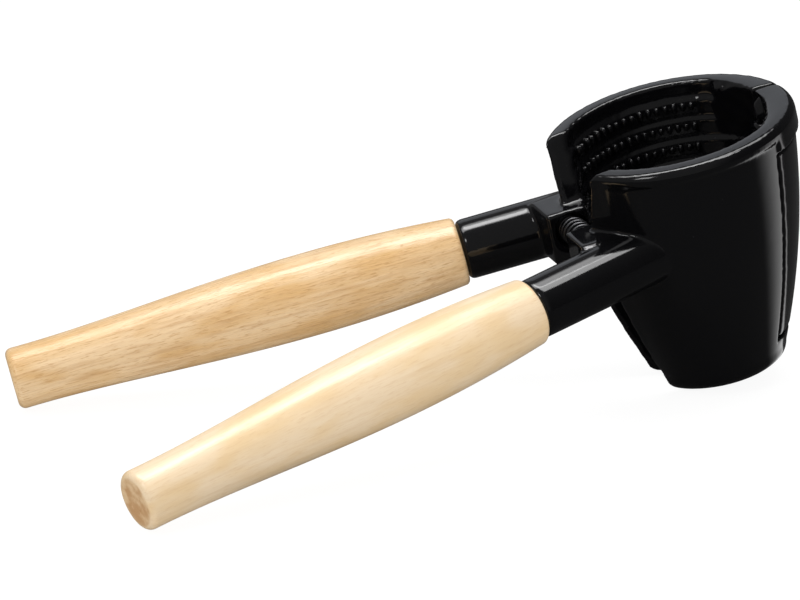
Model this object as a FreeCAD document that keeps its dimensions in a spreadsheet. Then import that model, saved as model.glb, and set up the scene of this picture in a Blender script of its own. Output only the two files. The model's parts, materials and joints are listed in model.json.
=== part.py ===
import math
import os

import FreeCAD
import Part
import Sketcher
from FreeCAD import Placement, Rotation, Vector

# Lever nutcracker press: a ledged cup in two hinged castings, each with a stem and a wooden handle.
# The pieces are drawn in the cup's own frame: origin at the middle of the rim's top face, +Z up the
# cup's axis, +X towards the hinge, the near jaw at -Y and the far jaw at +Y, held open by the spring.
# The whole press is then leaned over until it stands on the cup's base edge and both handle ends.

DRIVING_SIZES = [
    # Cup
    ("cup_height", 66.5),
    ("rim_radius", 32.3),
    ("rim_round", 2.2),
    ("lip_depth", 3.2),
    ("lip_slope_drop", 0.8),
    ("lip_overhang", 0.8),
    ("wall_arc_radius", 200.0),
    ("wall_slope_angle", 4.2),
    ("base_corner", 3.6),
    ("wall_thickness", 5.0),
    ("floor_thickness", 4.2),
    ("mouth_radius", 26.8),
    ("mouth_depth", 4.7),
    ("hinge_pad_radius", 25.1),
    ("hinge_pad_depth", 10.0),
    ("hinge_pad_azimuth", 45.0),
    ("ledge_pitch", 5.3),
    # Front window between the free ends of the rim, and the slot below the blocks
    ("window_half_width", 16.4),
    ("window_lean_angle", 21.0),
    ("slot_top_half_width", 9.0),
    ("slot_foot_half_width", 6.2),
    # Hinge
    ("hinge_from_rim", 4.3),
    ("hinge_tilt", 12.6),
    ("knuckle_radius", 4.3),
    ("top_knuckle", 6.8),
    ("bottom_knuckle", 7.2),
    ("knuckle_gap", 0.4),
    ("bottom_gap", 0.9),
    ("stop_azimuth", 52.0),
    ("stop_gap", 0.35),
    ("seam_offset", 3.0),
    ("seam_relief_angle", 5.0),
    ("pin_radius", 1.75),
    ("pin_clearance", 0.05),
    ("pin_blind_cover", 2.2),
    ("pin_tip_gap", 0.3),
    ("pin_foot_gap", 0.6),
    ("half_travel_angle", 6.2),
    ("parting_gap", 0.3),
    # Stems and blocks
    ("stem_radius", 7.7),
    ("stem_offset", 14.4),
    ("stem_spread_angle", 11.8),
    ("stem_dip_angle", 2.2),
    ("stem_drop", 23.4),
    ("stem_reach", 56.5),
    ("stem_edge_round", 1.2),
    ("stem_root", 18.0),
    ("block_front", 34.2),
    ("block_root", 12.0),
    ("block_height", 13.6),
    ("block_lift", 1.5),
    # Return spring
    ("spring_wire", 0.9),
    ("spring_radius", 3.15),
    ("spring_turns", 11.0),
    ("spring_place", 28.6),
    ("spring_rise", 1.6),
    ("spring_seat_gap", 0.3),
    ("pocket_clearance", 0.75),
    ("pocket_depth", 6.0),
    # Wooden handles
    ("handle_length", 118.0),
    ("handle_front_radius", 8.6),
    ("handle_quarter_radius", 10.4),
    ("handle_middle_radius", 10.1),
    ("handle_waist_radius", 8.6),
    ("handle_end_radius", 7.9),
    ("handle_end_round", 1.8),
    ("handle_front_round", 0.7),
    # Threaded studs that join stems and handles
    ("stud_radius", 3.0),
    ("stud_in_stem", 20.0),
    ("stud_in_wood", 42.0),
    ("stud_tip_gap", 0.5),
]

doc = FreeCAD.newDocument("nutcracker_press")
sheet = doc.addObject("Spreadsheet::Sheet", "sizes")
for row, (alias, number) in enumerate(DRIVING_SIZES, start=1):
    sheet.set("A%d" % row, alias)
    sheet.set("B%d" % row, str(number))
    sheet.setAlias("B%d" % row, alias)
doc.recompute()


def size(alias):
    return float(getattr(sheet, alias))


def bind(thing, **expressions):
    for name, expression in expressions.items():
        thing.setExpression(name, expression)
    return thing


def cylinder(name, place, **expressions):
    thing = doc.addObject("Part::Cylinder", name)
    thing.Placement = place
    return bind(thing, **expressions)


def box(name, place, **expressions):
    thing = doc.addObject("Part::Box", name)
    thing.Placement = place
    return bind(thing, **expressions)


def cut(name, base, tool):
    thing = doc.addObject("Part::Cut", name)
    thing.Base = base
    thing.Tool = tool
    return thing


def common(name, base, tool):
    thing = doc.addObject("Part::Common", name)
    thing.Base = base
    thing.Tool = tool
    return thing


def fuse(name, pieces):
    thing = doc.addObject("Part::MultiFuse", name)
    thing.Shapes = pieces
    return thing


def sketch_on(body, name, role):
    plane = [item for item in body.Origin.OriginFeatures if item.Role == role][0]
    sketch = body.newObject("Sketcher::SketchObject", name)
    sketch.AttachmentSupport = (plane, [""])
    sketch.MapMode = "FlatFace"
    return sketch


# Frames

UP = Vector(0, 0, 1)
ACROSS = Vector(0, 1, 0)
HINGE_X = size("rim_radius") - size("hinge_from_rim")
HINGE_FOOT = Vector(HINGE_X, 0, 0)
HINGE_TURN = Rotation(ACROSS, size("hinge_tilt"))
HINGE_AXIS = HINGE_TURN.multVec(UP)
NEAR = -1
FAR = 1
FAR_OUT = 300.0
CUT_MARGIN = 2.0
BARREL_START = -1.2 * size("cup_height")
BARREL_LENGTH = 1.4 * size("cup_height")


def hinge_place(along, degrees=0.0):
    """The hinge frame, moved along the pin and turned about it by some degrees."""
    turn = HINGE_TURN.multiply(Rotation(UP, degrees))
    return Placement(HINGE_FOOT + HINGE_AXIS * along, turn)


def stem_direction(side):
    """Unit vector along a stem, from the cup out to the handle's end."""
    spread = math.radians(size("stem_spread_angle"))
    dip = math.radians(size("stem_dip_angle"))
    return Vector(-math.cos(spread) * math.cos(dip), side * math.sin(spread) * math.cos(dip), -math.sin(dip))


def stem_point(side, reach):
    """Point on a stem's axis, at a distance from where it passes closest to the cup's axis."""
    spread = math.radians(size("stem_spread_angle"))
    closest = Vector(size("stem_offset") * math.sin(spread), side * size("stem_offset") * math.cos(spread), 0)
    return closest + stem_direction(side) * reach + Vector(0, 0, -size("stem_drop"))


def wall_radius(depth):
    """Outer radius of the cup's bowed wall at a depth under the rim."""
    below_lip = depth - size("lip_depth") - size("lip_slope_drop")
    slope = math.radians(size("wall_slope_angle"))
    bow = size("wall_arc_radius")
    sine = math.sin(slope) + below_lip / bow
    top = size("rim_radius") - size("lip_overhang")
    return top + bow * (math.sqrt(1.0 - sine * sine) - math.cos(slope))


# Cup blank: the outer form of both jaws, turned solid

def turned(name, edges):
    """A solid turned about the cup's axis from a closed outline."""
    outline = doc.addObject("Part::Feature", name + "_outline")
    outline.Shape = Part.Wire(edges)
    solid = doc.addObject("Part::Revolution", name)
    solid.Source = outline
    solid.Axis = (0, 0, 1)
    solid.Angle = 360
    solid.Solid = True
    return solid


def cup_blank():
    rim = size("rim_radius")
    rounding = size("rim_round")
    lip = size("lip_depth")
    wall_top = lip + size("lip_slope_drop")
    height = size("cup_height")
    corner = size("base_corner")
    corner_depth = height - corner
    corner_radius = wall_radius(corner_depth)
    base_flat = corner_radius - corner
    corner_mid = Vector(base_flat + corner * math.sin(math.radians(50)),
                        0, -corner_depth - corner * math.cos(math.radians(50)))
    rim_mid = Vector(rim - rounding * (1 - math.cos(math.radians(45))),
                     0, -rounding * (1 - math.sin(math.radians(45))))
    middle = (wall_top + corner_depth) / 2

    def at(radius, depth):
        return Vector(radius, 0, -depth)

    edges = [
        Part.makeLine(at(0, 0), at(rim - rounding, 0)),
        Part.Arc(at(rim - rounding, 0), rim_mid, at(rim, rounding)).toShape(),
        Part.makeLine(at(rim, rounding), at(rim, lip)),
        Part.makeLine(at(rim, lip), at(wall_radius(wall_top), wall_top)),
        Part.Arc(at(wall_radius(wall_top), wall_top), at(wall_radius(middle), middle),
                 at(corner_radius, corner_depth)).toShape(),
        Part.Arc(at(corner_radius, corner_depth), corner_mid, at(base_flat, height)).toShape(),
        Part.makeLine(at(base_flat, height), at(0, height)),
        Part.makeLine(at(0, height), at(0, 0)),
    ]
    return turned("cup_blank", edges)


def axis_drop():
    """Depth of a stem's axis under the rim, at the front of its block."""
    return size("stem_drop") + math.sin(math.radians(size("stem_dip_angle"))) * size("block_front")


def block_top():
    """Depth of a block's top face under the rim."""
    return axis_drop() - size("block_lift") - size("block_height") / 2


def cavity():
    """The stepped hollow: a smooth mouth, then tiers that step in with the wall, and a flat floor."""
    deepest = size("cup_height") - size("floor_thickness")
    depth = size("mouth_depth")
    corners = [(0.0, -CUT_MARGIN), (size("mouth_radius"), -CUT_MARGIN), (size("mouth_radius"), depth)]
    while depth < deepest:
        bottom = depth + size("ledge_pitch")
        if bottom + size("ledge_pitch") / 2 > deepest:
            bottom = deepest
        radius = wall_radius(bottom) - size("wall_thickness")
        corners.append((radius, depth))
        corners.append((radius, bottom))
        depth = bottom
    corners.append((0.0, depth))
    points = [Vector(radius, 0, -level) for radius, level in corners]
    return turned("cavity", [Part.makeLine(points[i - 1], points[i]) for i in range(len(points))])


def hinge_pad():
    """The thicker band inside the mouth beside the hinge."""
    foot = Vector(0, 0, -size("hinge_pad_depth"))
    sector = cylinder("pad_sector", Placement(foot, Rotation(UP, -size("hinge_pad_azimuth"))),
                      Radius="sizes.rim_radius", Angle="sizes.hinge_pad_azimuth * 2",
                      Height="sizes.hinge_pad_depth * 2")
    core = cylinder("pad_core", Placement(foot, Rotation()), Radius="sizes.hinge_pad_radius",
                    Height="sizes.hinge_pad_depth * 2")
    return cut("hinge_pad", sector, core)


blank = cup_blank()
hollow = cut("hollow", cavity(), hinge_pad())
shell = cut("cup_shell", blank, hollow)

# Hinge barrel: round about the pin, trimmed to the outer form of the cup
barrel_blank = cylinder("barrel_blank", hinge_place(BARREL_START), Radius="sizes.knuckle_radius")
barrel_blank.Height = BARREL_LENGTH
barrel = common("barrel", barrel_blank, blank)

hinge_zone = cylinder("hinge_zone", Placement(
    Vector(0, 0, -size("cup_height") + size("bottom_knuckle") + size("bottom_gap")),
    Rotation(UP, -size("stop_azimuth"))))
bind(hinge_zone, Radius="sizes.rim_radius * 2", Angle="sizes.stop_azimuth * 1.2",
     Height="sizes.cup_height - sizes.bottom_knuckle - sizes.bottom_gap"
            " - sizes.top_knuckle - sizes.knuckle_gap")


def half_space(side):
    """Everything on one jaw's side of the parting face, which turns with that jaw."""
    open_turn = -side * size("half_travel_angle")
    place = hinge_place(0, open_turn)
    low = Vector(-FAR_OUT, size("parting_gap") if side == FAR else -FAR_OUT - size("parting_gap"), -FAR_OUT / 2)
    thing = box("half_space_%s" % ("far" if side == FAR else "near"), place.multiply(Placement(low, Rotation())))
    thing.Length = 2 * FAR_OUT
    thing.Width = FAR_OUT
    thing.Height = FAR_OUT
    return thing


def stem_and_block(side, label):
    """The round stem and the square block beside it that carries one end of the spring."""
    outward = stem_direction(side)
    start = stem_point(side, size("stem_root"))
    stem = cylinder(label + "_stem", Placement(start, Rotation(UP, outward)), Radius="sizes.stem_radius",
                    Height="sizes.stem_reach - sizes.stem_root")
    rounded = doc.addObject("Part::Fillet", label + "_stem_rounded")
    rounded.Base = stem
    doc.recompute()
    end = stem_point(side, size("stem_reach"))
    end_edge = 1
    for index, edge in enumerate(stem.Shape.Edges, start=1):
        if (edge.CenterOfMass - end).Length < size("stem_edge_round"):
            end_edge = index
    rounded.Edges = [(end_edge, size("stem_edge_round"), size("stem_edge_round"))]

    stem_side = abs(stem_point(side, size("block_front") - size("stem_radius")).y)
    low = Vector(-size("block_front"), 0 if side == FAR else -stem_side, -block_top() - size("block_height"))
    block_box = box(label + "_block_box", Placement(low, Rotation()), Height="sizes.block_height",
                    Length="sizes.block_front - sizes.block_root")
    block_box.Width = stem_side
    return fuse(label + "_outer", [blank, rounded, block_box])


def spring_centre():
    return Vector(-size("spring_place"), 0, -size("stem_drop") + size("spring_rise"))


def pocket(side, label):
    """Round pocket for one end of the spring, square to the block's inner face."""
    turn = Rotation(HINGE_AXIS, -side * size("half_travel_angle"))
    closed_centre = spring_centre()
    centre = turn.multVec(closed_centre - HINGE_FOOT) + HINGE_FOOT
    outward = turn.multVec(Vector(0, side, 0))
    start = centre - outward * size("stem_offset")
    thing = cylinder(label + "_spring_pocket", Placement(start, Rotation(UP, outward)))
    return bind(thing, Radius="sizes.spring_radius + sizes.spring_wire / 2 + sizes.pocket_clearance",
                Height="sizes.pocket_depth + sizes.stem_offset")


def stud_hole(side, label):
    outward = stem_direction(side)
    start = stem_point(side, size("stem_reach") - size("stud_in_stem"))
    return cylinder(label + "_stud_hole", Placement(start, Rotation(UP, outward)), Radius="sizes.stud_radius",
                    Height="sizes.stud_in_stem * 1.2")


def front_opening(name, top, bottom, top_half, bottom_half):
    """A tapered opening through the front of the cup, between two depths under the rim."""
    corners = [(-top_half, -top), (-bottom_half, -bottom), (bottom_half, -bottom), (top_half, -top)]
    points = [Vector(-size("block_root"), across, level) for across, level in corners]
    outline = doc.addObject("Part::Feature", name + "_outline")
    outline.Shape = Part.Face(Part.makePolygon(points + points[:1]))
    opening = doc.addObject("Part::Extrusion", name)
    opening.Base = outline
    opening.DirMode = "Custom"
    opening.Dir = Vector(-1, 0, 0)
    opening.LengthFwd = FAR_OUT
    opening.Solid = True
    return opening


def window():
    """Opening between the free ends of the rim, down to the tops of the blocks."""
    lean = math.tan(math.radians(size("window_lean_angle")))
    return front_opening("window", -CUT_MARGIN, block_top(), size("window_half_width") + CUT_MARGIN * lean,
                         size("window_half_width") - block_top() * lean)


def foot_slot():
    """Opening between the jaws' front edges, from the bottoms of the blocks to the cup's base."""
    return front_opening("foot_slot", block_top() + size("block_height"), size("cup_height") + CUT_MARGIN,
                         size("slot_top_half_width"), size("slot_foot_half_width"))


def bottom_slab(name, extra):
    """Everything below the foot of the far jaw's knuckle, and some extra height."""
    low = Vector(-FAR_OUT / 2, -FAR_OUT / 2, BOTTOM_PLANE - FAR_OUT)
    slab = box(name, Placement(low, Rotation()))
    slab.Length = FAR_OUT
    slab.Width = FAR_OUT
    slab.Height = FAR_OUT + extra
    return slab


BOTTOM_PLANE = -size("cup_height") + size("bottom_knuckle")
front_window = window()
front_slot = foot_slot()


def near_jaw():
    outer = stem_and_block(NEAR, "near")
    hollowed = cut("near_hollowed", outer, hollow)
    half = common("near_half", hollowed, half_space(NEAR))
    gap_degrees = math.degrees(size("stop_gap") / size("rim_radius"))
    zone = cylinder("near_zone_cut", Placement(Vector(0, 0, BOTTOM_PLANE),
                                               Rotation(UP, -size("stop_azimuth") - gap_degrees)))
    bind(zone, Radius="sizes.rim_radius * 2",
         Height="sizes.cup_height - sizes.bottom_knuckle - sizes.top_knuckle")
    zone.Angle = size("stop_azimuth") + gap_degrees + 30
    trimmed = cut("near_trimmed", half, fuse("near_trims", [zone, front_window, front_slot]))

    lip_sector = cylinder("hinge_lip_sector", Placement(Vector(0, 0, -size("top_knuckle")),
                                                        Rotation(UP, -size("stop_azimuth"))))
    bind(lip_sector, Radius="sizes.rim_radius", Angle="sizes.stop_azimuth * 1.2",
         Height="sizes.top_knuckle - sizes.rim_round")
    lip = cut("hinge_lip", lip_sector, hollow)
    tab_low = Vector(size("rim_radius") / 2, -size("rim_radius"), -size("top_knuckle"))
    tab = box("top_tab", Placement(tab_low, Rotation()), Height="sizes.top_knuckle * 2",
              Width="sizes.rim_radius + sizes.seam_offset", Length="sizes.rim_radius")
    top = common("top_knuckle_near", fuse("top_knuckle_stock", [shell, barrel, lip]), tab)
    bottom = common("bottom_knuckle_near", barrel, bottom_slab("bottom_slab", 0))
    joined = fuse("near_joined", [trimmed, top, bottom])

    hole = cylinder("near_pin_hole", hinge_place(BARREL_START), Radius="sizes.pin_radius + sizes.pin_clearance")
    hole.Height = -BARREL_START - size("pin_blind_cover")
    holes = fuse("near_holes", [hole, pocket(NEAR, "near"), stud_hole(NEAR, "near")])
    return cut("near_jaw", joined, holes)


def far_jaw():
    outer = stem_and_block(FAR, "far")
    hollowed = cut("far_hollowed", outer, hollow)
    half = common("far_half", hollowed, half_space(FAR))
    zone_shell = common("far_zone_shell", fuse("far_zone_stock", [shell, barrel]), hinge_zone)

    seam_top = -size("top_knuckle") - size("knuckle_gap")
    seam_corner = Vector(size("rim_radius") + CUT_MARGIN, size("seam_offset") + size("stop_gap"), seam_top)
    seam = box("seam_cut", Placement(seam_corner, Rotation(UP, 180 - size("seam_relief_angle"))))
    seam.Length = size("rim_radius") / 2
    seam.Width = FAR_OUT
    seam.Height = FAR_OUT
    foot = cylinder("foot_cut", hinge_place(BARREL_START), Radius="sizes.knuckle_radius + sizes.knuckle_gap")
    foot.Height = BARREL_LENGTH
    foot_room = common("foot_room", foot, bottom_slab("foot_slab", size("bottom_gap")))
    trims = fuse("far_trims", [front_window, front_slot, seam, foot_room])
    trimmed = cut("far_trimmed", fuse("far_joined", [half, zone_shell]), trims)

    hole = cylinder("far_pin_hole", hinge_place(BARREL_START), Radius="sizes.pin_radius")
    hole.Height = -BARREL_START - size("pin_blind_cover")
    holes = fuse("far_holes", [hole, pocket(FAR, "far"), stud_hole(FAR, "far")])
    return cut("far_jaw", trimmed, holes)


def hinge_pin():
    start_along = -(size("cup_height") - size("pin_foot_gap")) / math.cos(math.radians(size("hinge_tilt")))
    end_along = -size("pin_blind_cover") - size("pin_tip_gap")
    pin = cylinder("hinge_pin", hinge_place(start_along), Radius="sizes.pin_radius")
    pin.Height = end_along - start_along
    return pin


def handle(side, label):
    """Turned wooden handle: full near the front, waisted towards a soft-edged end."""
    body = doc.addObject("PartDesign::Body", label)
    body.Label = label
    stations = [
        ("0", "handle_front_radius"),
        ("sizes.handle_length * 0.25", "handle_quarter_radius"),
        ("sizes.handle_length * 0.5", "handle_middle_radius"),
        ("sizes.handle_length * 0.75", "handle_waist_radius"),
        ("sizes.handle_length", "handle_end_radius"),
    ]
    rings = []
    for number, (offset, radius) in enumerate(stations, start=1):
        ring = sketch_on(body, "%s_ring_%d" % (label, number), "XY_Plane")
        ring.addGeometry(Part.Circle(Vector(0, 0, 0), UP, size(radius)), False)
        ring.addConstraint(Sketcher.Constraint("Coincident", 0, 3, -1, 1))
        ring.addConstraint(Sketcher.Constraint("Radius", 0, size(radius)))
        ring.setExpression("Constraints[1]", "sizes." + radius)
        ring.setExpression("AttachmentOffset.Base.z", offset)
        rings.append(ring)
    doc.recompute()
    loft = body.newObject("PartDesign::AdditiveLoft", label + "_turning")
    loft.Profile = rings[0]
    loft.Sections = rings[1:]
    doc.recompute()
    bore = sketch_on(body, label + "_bore_circle", "XY_Plane")
    bore.addGeometry(Part.Circle(Vector(0, 0, 0), UP, size("stud_radius")), False)
    bore.addConstraint(Sketcher.Constraint("Coincident", 0, 3, -1, 1))
    bore.addConstraint(Sketcher.Constraint("Radius", 0, size("stud_radius")))
    bore.setExpression("Constraints[1]", "sizes.stud_radius")
    drilled = body.newObject("PartDesign::Pocket", label + "_bore")
    drilled.Profile = bore
    drilled.setExpression("Length", "sizes.stud_in_wood")
    drilled.Reversed = True
    doc.recompute()
    rounded = body.newObject("PartDesign::Fillet", label + "_end_round")
    rounded.Base = (drilled, [edge_at(drilled, size("handle_length"))])
    rounded.setExpression("Radius", "sizes.handle_end_round")
    doc.recompute()
    front = body.newObject("PartDesign::Fillet", label + "_front_round")
    front.Base = (rounded, [edge_at(rounded, 0.0)])
    front.setExpression("Radius", "sizes.handle_front_round")
    body.Tip = front
    doc.recompute()
    return body, Placement(stem_point(side, size("stem_reach")), Rotation(UP, stem_direction(side)))


def edge_at(feature, height):
    """Name of the widest round edge at a height along the handle."""
    best = None
    widest = 0.0
    for index, edge in enumerate(feature.Shape.Edges, start=1):
        box_of = edge.BoundBox
        if abs(box_of.ZMin - height) < 1e-3 and abs(box_of.ZMax - height) < 1e-3 and box_of.XLength > widest:
            widest = box_of.XLength
            best = "Edge%d" % index
    return best


def stud(side, label):
    start = stem_point(side, size("stem_reach") - size("stud_in_stem"))
    return cylinder(label, Placement(start, Rotation(UP, stem_direction(side))), Radius="sizes.stud_radius",
                    Height="sizes.stud_in_stem + sizes.stud_in_wood - sizes.stud_tip_gap")


def spring():
    """Compression spring: one unbroken wire in even turns, on quarter-turn arcs."""
    turn = Rotation(HINGE_AXIS, -FAR * size("half_travel_angle"))
    seat = turn.multVec(spring_centre() + Vector(0, size("pocket_depth"), 0) - HINGE_FOOT) + HINGE_FOOT
    radius = size("spring_radius")
    outer = radius + size("spring_wire") / 2
    slant = outer * math.tan(math.radians(size("half_travel_angle")))
    half_length = seat.y - slant - size("spring_seat_gap") - size("spring_wire") / 2
    turns = size("spring_turns")
    quarters = int(turns * 4)
    rise = 2 * half_length / quarters
    middle = Vector((seat.x + turn.multVec(spring_centre() - HINGE_FOOT).x + HINGE_X) / 2, 0,
                    (seat.z + spring_centre().z) / 2)

    def at(quarter):
        angle = quarter * math.pi / 2
        return middle + Vector(radius * math.cos(angle), -half_length + rise * quarter, radius * math.sin(angle))

    edges = [Part.Arc(at(q), at(q + 0.5), at(q + 1)).toShape() for q in range(quarters)]
    path = Part.Wire(edges)
    tangent = edges[0].tangentAt(edges[0].FirstParameter)
    circle = Part.Wire([Part.Circle(at(0), tangent, size("spring_wire") / 2).toShape()])
    wire = path.makePipeShell([circle], True, False)
    gap = min((at(q + 4) - at(q)).Length for q in range(quarters - 4)) - size("spring_wire")
    print("spring: least gap between turns %.2f mm, volume %.1f, section times length %.1f"
          % (gap, wire.Volume, math.pi * size("spring_wire") ** 2 / 4 * path.Length))
    thing = doc.addObject("Part::Feature", "return_spring")
    thing.Shape = wire
    return thing


def lean_angle():
    """Degrees that the press leans before its handle ends meet the floor beside the cup's base."""
    corner = size("base_corner")
    base_ring = wall_radius(size("cup_height") - corner) - corner
    handle_ring = size("handle_end_radius") - size("handle_end_round")
    end = stem_point(NEAR, size("stem_reach") + size("handle_length") - size("handle_end_round"))

    def lowest_base(angle):
        return -(size("cup_height") - corner) * math.cos(angle) - base_ring * math.sin(angle) - corner

    def lowest_end(angle):
        centre = end.z * math.cos(angle) + end.x * math.sin(angle)
        slope = stem_direction(NEAR).z * math.cos(angle) + stem_direction(NEAR).x * math.sin(angle)
        return centre - handle_ring * math.sqrt(1 - slope * slope) - size("handle_end_round")

    low, high = 0.0, math.radians(40)
    for _ in range(60):
        middle = (low + high) / 2
        if lowest_end(middle) > lowest_base(middle):
            low = middle
        else:
            high = middle
    return math.degrees(low), lowest_base(low)


near = near_jaw()
far = far_jaw()
pin = hinge_pin()
coil = spring()
near_handle, near_seat = handle(NEAR, "near_handle")
far_handle, far_seat = handle(FAR, "far_handle")
near_stud = stud(NEAR, "near_stud")
far_stud = stud(FAR, "far_stud")
doc.recompute()

lean, floor_level = lean_angle()
leaned = Placement(Vector(0, 0, -floor_level), Rotation(ACROSS, -lean))
parts = {
    "near_jaw": (near, Placement()),
    "far_jaw": (far, Placement()),
    "hinge_pin": (pin, pin.Placement),
    "return_spring": (coil, Placement()),
    "near_handle": (near_handle, near_seat),
    "far_handle": (far_handle, far_seat),
    "near_stud": (near_stud, near_stud.Placement),
    "far_stud": (far_stud, far_stud.Placement),
}
for label, (thing, seat) in parts.items():
    thing.Label = label
    thing.Placement = leaned.multiply(seat)
doc.recompute()

bounds = FreeCAD.BoundBox()
for thing, seat in parts.values():
    bounds.add(thing.Shape.optimalBoundingBox(False))
shift = Placement(Vector(-bounds.Center.x, -bounds.Center.y, -bounds.ZMin), Rotation())
for thing, seat in parts.values():
    thing.Placement = shift.multiply(thing.Placement)
doc.recompute()

whole = shift.multiply(leaned)
foot = whole.multVec(HINGE_FOOT)
axis = whole.Rotation.multVec(HINGE_AXIS)
print("lean %.3f degrees, overall %.1f x %.1f x %.1f mm" % (lean, bounds.XLength, bounds.YLength, bounds.ZLength))
print("hinge point mm %.4f %.4f %.4f axis %.6f %.6f %.6f" % (foot.x, foot.y, foot.z, axis.x, axis.y, axis.z))
print("rim centre mm", whole.multVec(Vector(0, 0, 0)), "cup axis", whole.Rotation.multVec(UP))

for thing in doc.Objects:
    if "Invalid" in thing.State or "Error" in thing.State:
        raise RuntimeError("%s is %s" % (thing.Name, thing.State))
os.makedirs("parts", exist_ok=True)
for label, (thing, seat) in parts.items():
    if thing.Shape.isNull() or not thing.Shape.isValid():
        raise RuntimeError(label + " has a bad shape")
    print(label, "solids", len(thing.Shape.Solids), "volume %.1f" % thing.Shape.Volume)
    thing.Shape.exportStep("parts/%s.step" % label)
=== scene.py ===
import json
import math

import bmesh
import bpy
import numpy as np
from mathutils import Matrix, Vector


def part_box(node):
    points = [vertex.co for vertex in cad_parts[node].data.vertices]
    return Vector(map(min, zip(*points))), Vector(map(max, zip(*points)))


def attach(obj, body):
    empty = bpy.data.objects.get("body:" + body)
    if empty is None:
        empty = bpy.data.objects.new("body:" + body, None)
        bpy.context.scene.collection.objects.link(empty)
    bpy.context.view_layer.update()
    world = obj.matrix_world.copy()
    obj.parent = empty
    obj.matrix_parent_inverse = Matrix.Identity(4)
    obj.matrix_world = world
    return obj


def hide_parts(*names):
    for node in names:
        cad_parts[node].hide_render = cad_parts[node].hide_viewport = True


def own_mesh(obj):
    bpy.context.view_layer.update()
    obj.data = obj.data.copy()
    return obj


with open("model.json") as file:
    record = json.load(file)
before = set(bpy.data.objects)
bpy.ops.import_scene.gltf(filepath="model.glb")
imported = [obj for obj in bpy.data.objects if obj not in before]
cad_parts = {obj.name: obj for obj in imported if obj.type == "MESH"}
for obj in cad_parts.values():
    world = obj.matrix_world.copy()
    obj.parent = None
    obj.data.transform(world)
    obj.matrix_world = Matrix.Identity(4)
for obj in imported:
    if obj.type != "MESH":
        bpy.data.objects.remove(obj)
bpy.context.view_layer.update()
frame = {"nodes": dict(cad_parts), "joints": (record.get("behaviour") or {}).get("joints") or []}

# Lever nutcracker press: a black enamelled cup in two hinged castings, with two turned wooden grips.
# Places are worked out in the cup's own frame: origin at the middle of the rim's top face, Z up the
# cup's axis, X towards the hinge, the near casting at -Y and the far casting at +Y.

MM = 0.001
NEAR = -1
FAR = 1

# Cup
RIM_RADIUS = 32.3 * MM
RIM_ROUND = 2.2 * MM
RIM_DOME = 0.12 * MM
LIP_OVERHANG = 0.8 * MM
WALL_TOP_DEPTH = 4.0 * MM
WALL_END_DEPTH = 62.9 * MM
WALL_ARC_RADIUS = 200.0 * MM
WALL_TOP_SLOPE = math.radians(4.2)
WALL_THICKNESS = 5.0 * MM
CUP_HEIGHT = 66.5 * MM
FLOOR_THICKNESS = 4.2 * MM
MOUTH_RADIUS = 26.8 * MM
MOUTH_DEPTH = 4.7 * MM
LEDGE_PITCH = 5.3 * MM

# Hinge, and the thicker part of the rim around it
HINGE_FROM_CENTRE = 28.0 * MM
HINGE_TILT = math.radians(12.6)
TOP_KNUCKLE = 6.8 * MM
HINGE_PAD_RADIUS = 25.1 * MM
HINGE_PAD_DEPTH = 10.0 * MM
HINGE_PAD_ARC = (math.radians(15), math.radians(46))
PAD_FOOT_MARGIN = 0.2 * MM
BARREL_PROUD = 1.6 * MM

# Lip, which runs out into the wall towards each casting's free end
LIP_FADE_ARC = (math.radians(122), math.radians(148))
LIP_FADE_DEPTHS = (1.5 * MM, 4.0 * MM)
LIP_FOOT_MARGIN = 0.3 * MM

# Cast surface: facet sizes, how near a point is to the face that it settles on, and how it is smoothed
NEAR_FACET = 0.42 * MM
FAR_FACET = 0.49 * MM
MERGE_DISTANCE = 0.001 * MM
FACE_REACH = 0.14 * MM
SMOOTHING_ROUNDS = (3, 3, 5)
SMOOTHING_SHARE = 0.5

# Stems and grips
STEM_RADIUS = 7.7 * MM
STEM_OFFSET = 14.4 * MM
STEM_SPREAD = math.radians(11.8)
STEM_DIP = math.radians(2.2)
STEM_DROP = 23.4 * MM
STEM_REACH = 56.5 * MM
STEM_ROOT = 20.0 * MM
STEM_END_ROUND = 1.3 * MM
GRIP_LENGTH = 118.0 * MM
GRIP_RADII = (8.6 * MM, 10.4 * MM, 10.1 * MM, 8.6 * MM, 7.9 * MM)
GRIP_FRONT_ROUND = 1.3 * MM
GRIP_END_ROUND = 1.8 * MM
GRIP_BORE = 3.0 * MM
GRIP_BORE_DEPTH = 12.0 * MM
GRIP_SEGMENTS = 96
GRIP_FRONT_STEPS = 8
GRIP_LONG_STEPS = 110
GRIP_END_STEPS = 9
END_FACE_BORDER = 1.2 * MM
END_FACE_BLEND = 0.8 * MM
END_FACE_DEPTH = 0.3 * MM
NEAR_GRAIN_SHIFT = 0.11
FAR_GRAIN_SHIFT = 0.37

# Teeth under the ledges
TOOTH_PITCH = 2.2 * MM
TOOTH_WIDTH = 1.65 * MM
TOOTH_HEIGHT = 2.5 * MM
TOOTH_DEPTH = 3.0 * MM
TOOTH_SIZES = (0.65, 1.1)
TOOTH_BARREL = 1.25
TOOTH_UNDER_LEDGE = 0.45 * MM
TOOTH_ARC = (math.radians(58), math.radians(138))
TOOTH_ROW_STEPS = 60
TOOTH_SEGMENTS = 12
TOOTH_RINGS = 9

# Return spring
SPRING_RADIUS = 3.15 * MM
SPRING_WIRE = 0.9 * MM
SPRING_TURNS = 11.0
SPRING_TURN_STEPS = 40
SPRING_WIRE_SIDES = 14
SPRING_END_CROWDING = 0.02

# Wood: each grain pattern with the socket of its scale, its detail, and its share of length along the grip
GRAIN_PATTERNS = (("Blotches", "Blotch Scale", 2.0, 0.35), ("Streaks", "Streak Scale", 3.0, 0.06),
                  ("Lines", "Line Scale", 2.0, 0.04), ("Fibres", "Fibre Scale", 2.0, 0.11))
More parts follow.
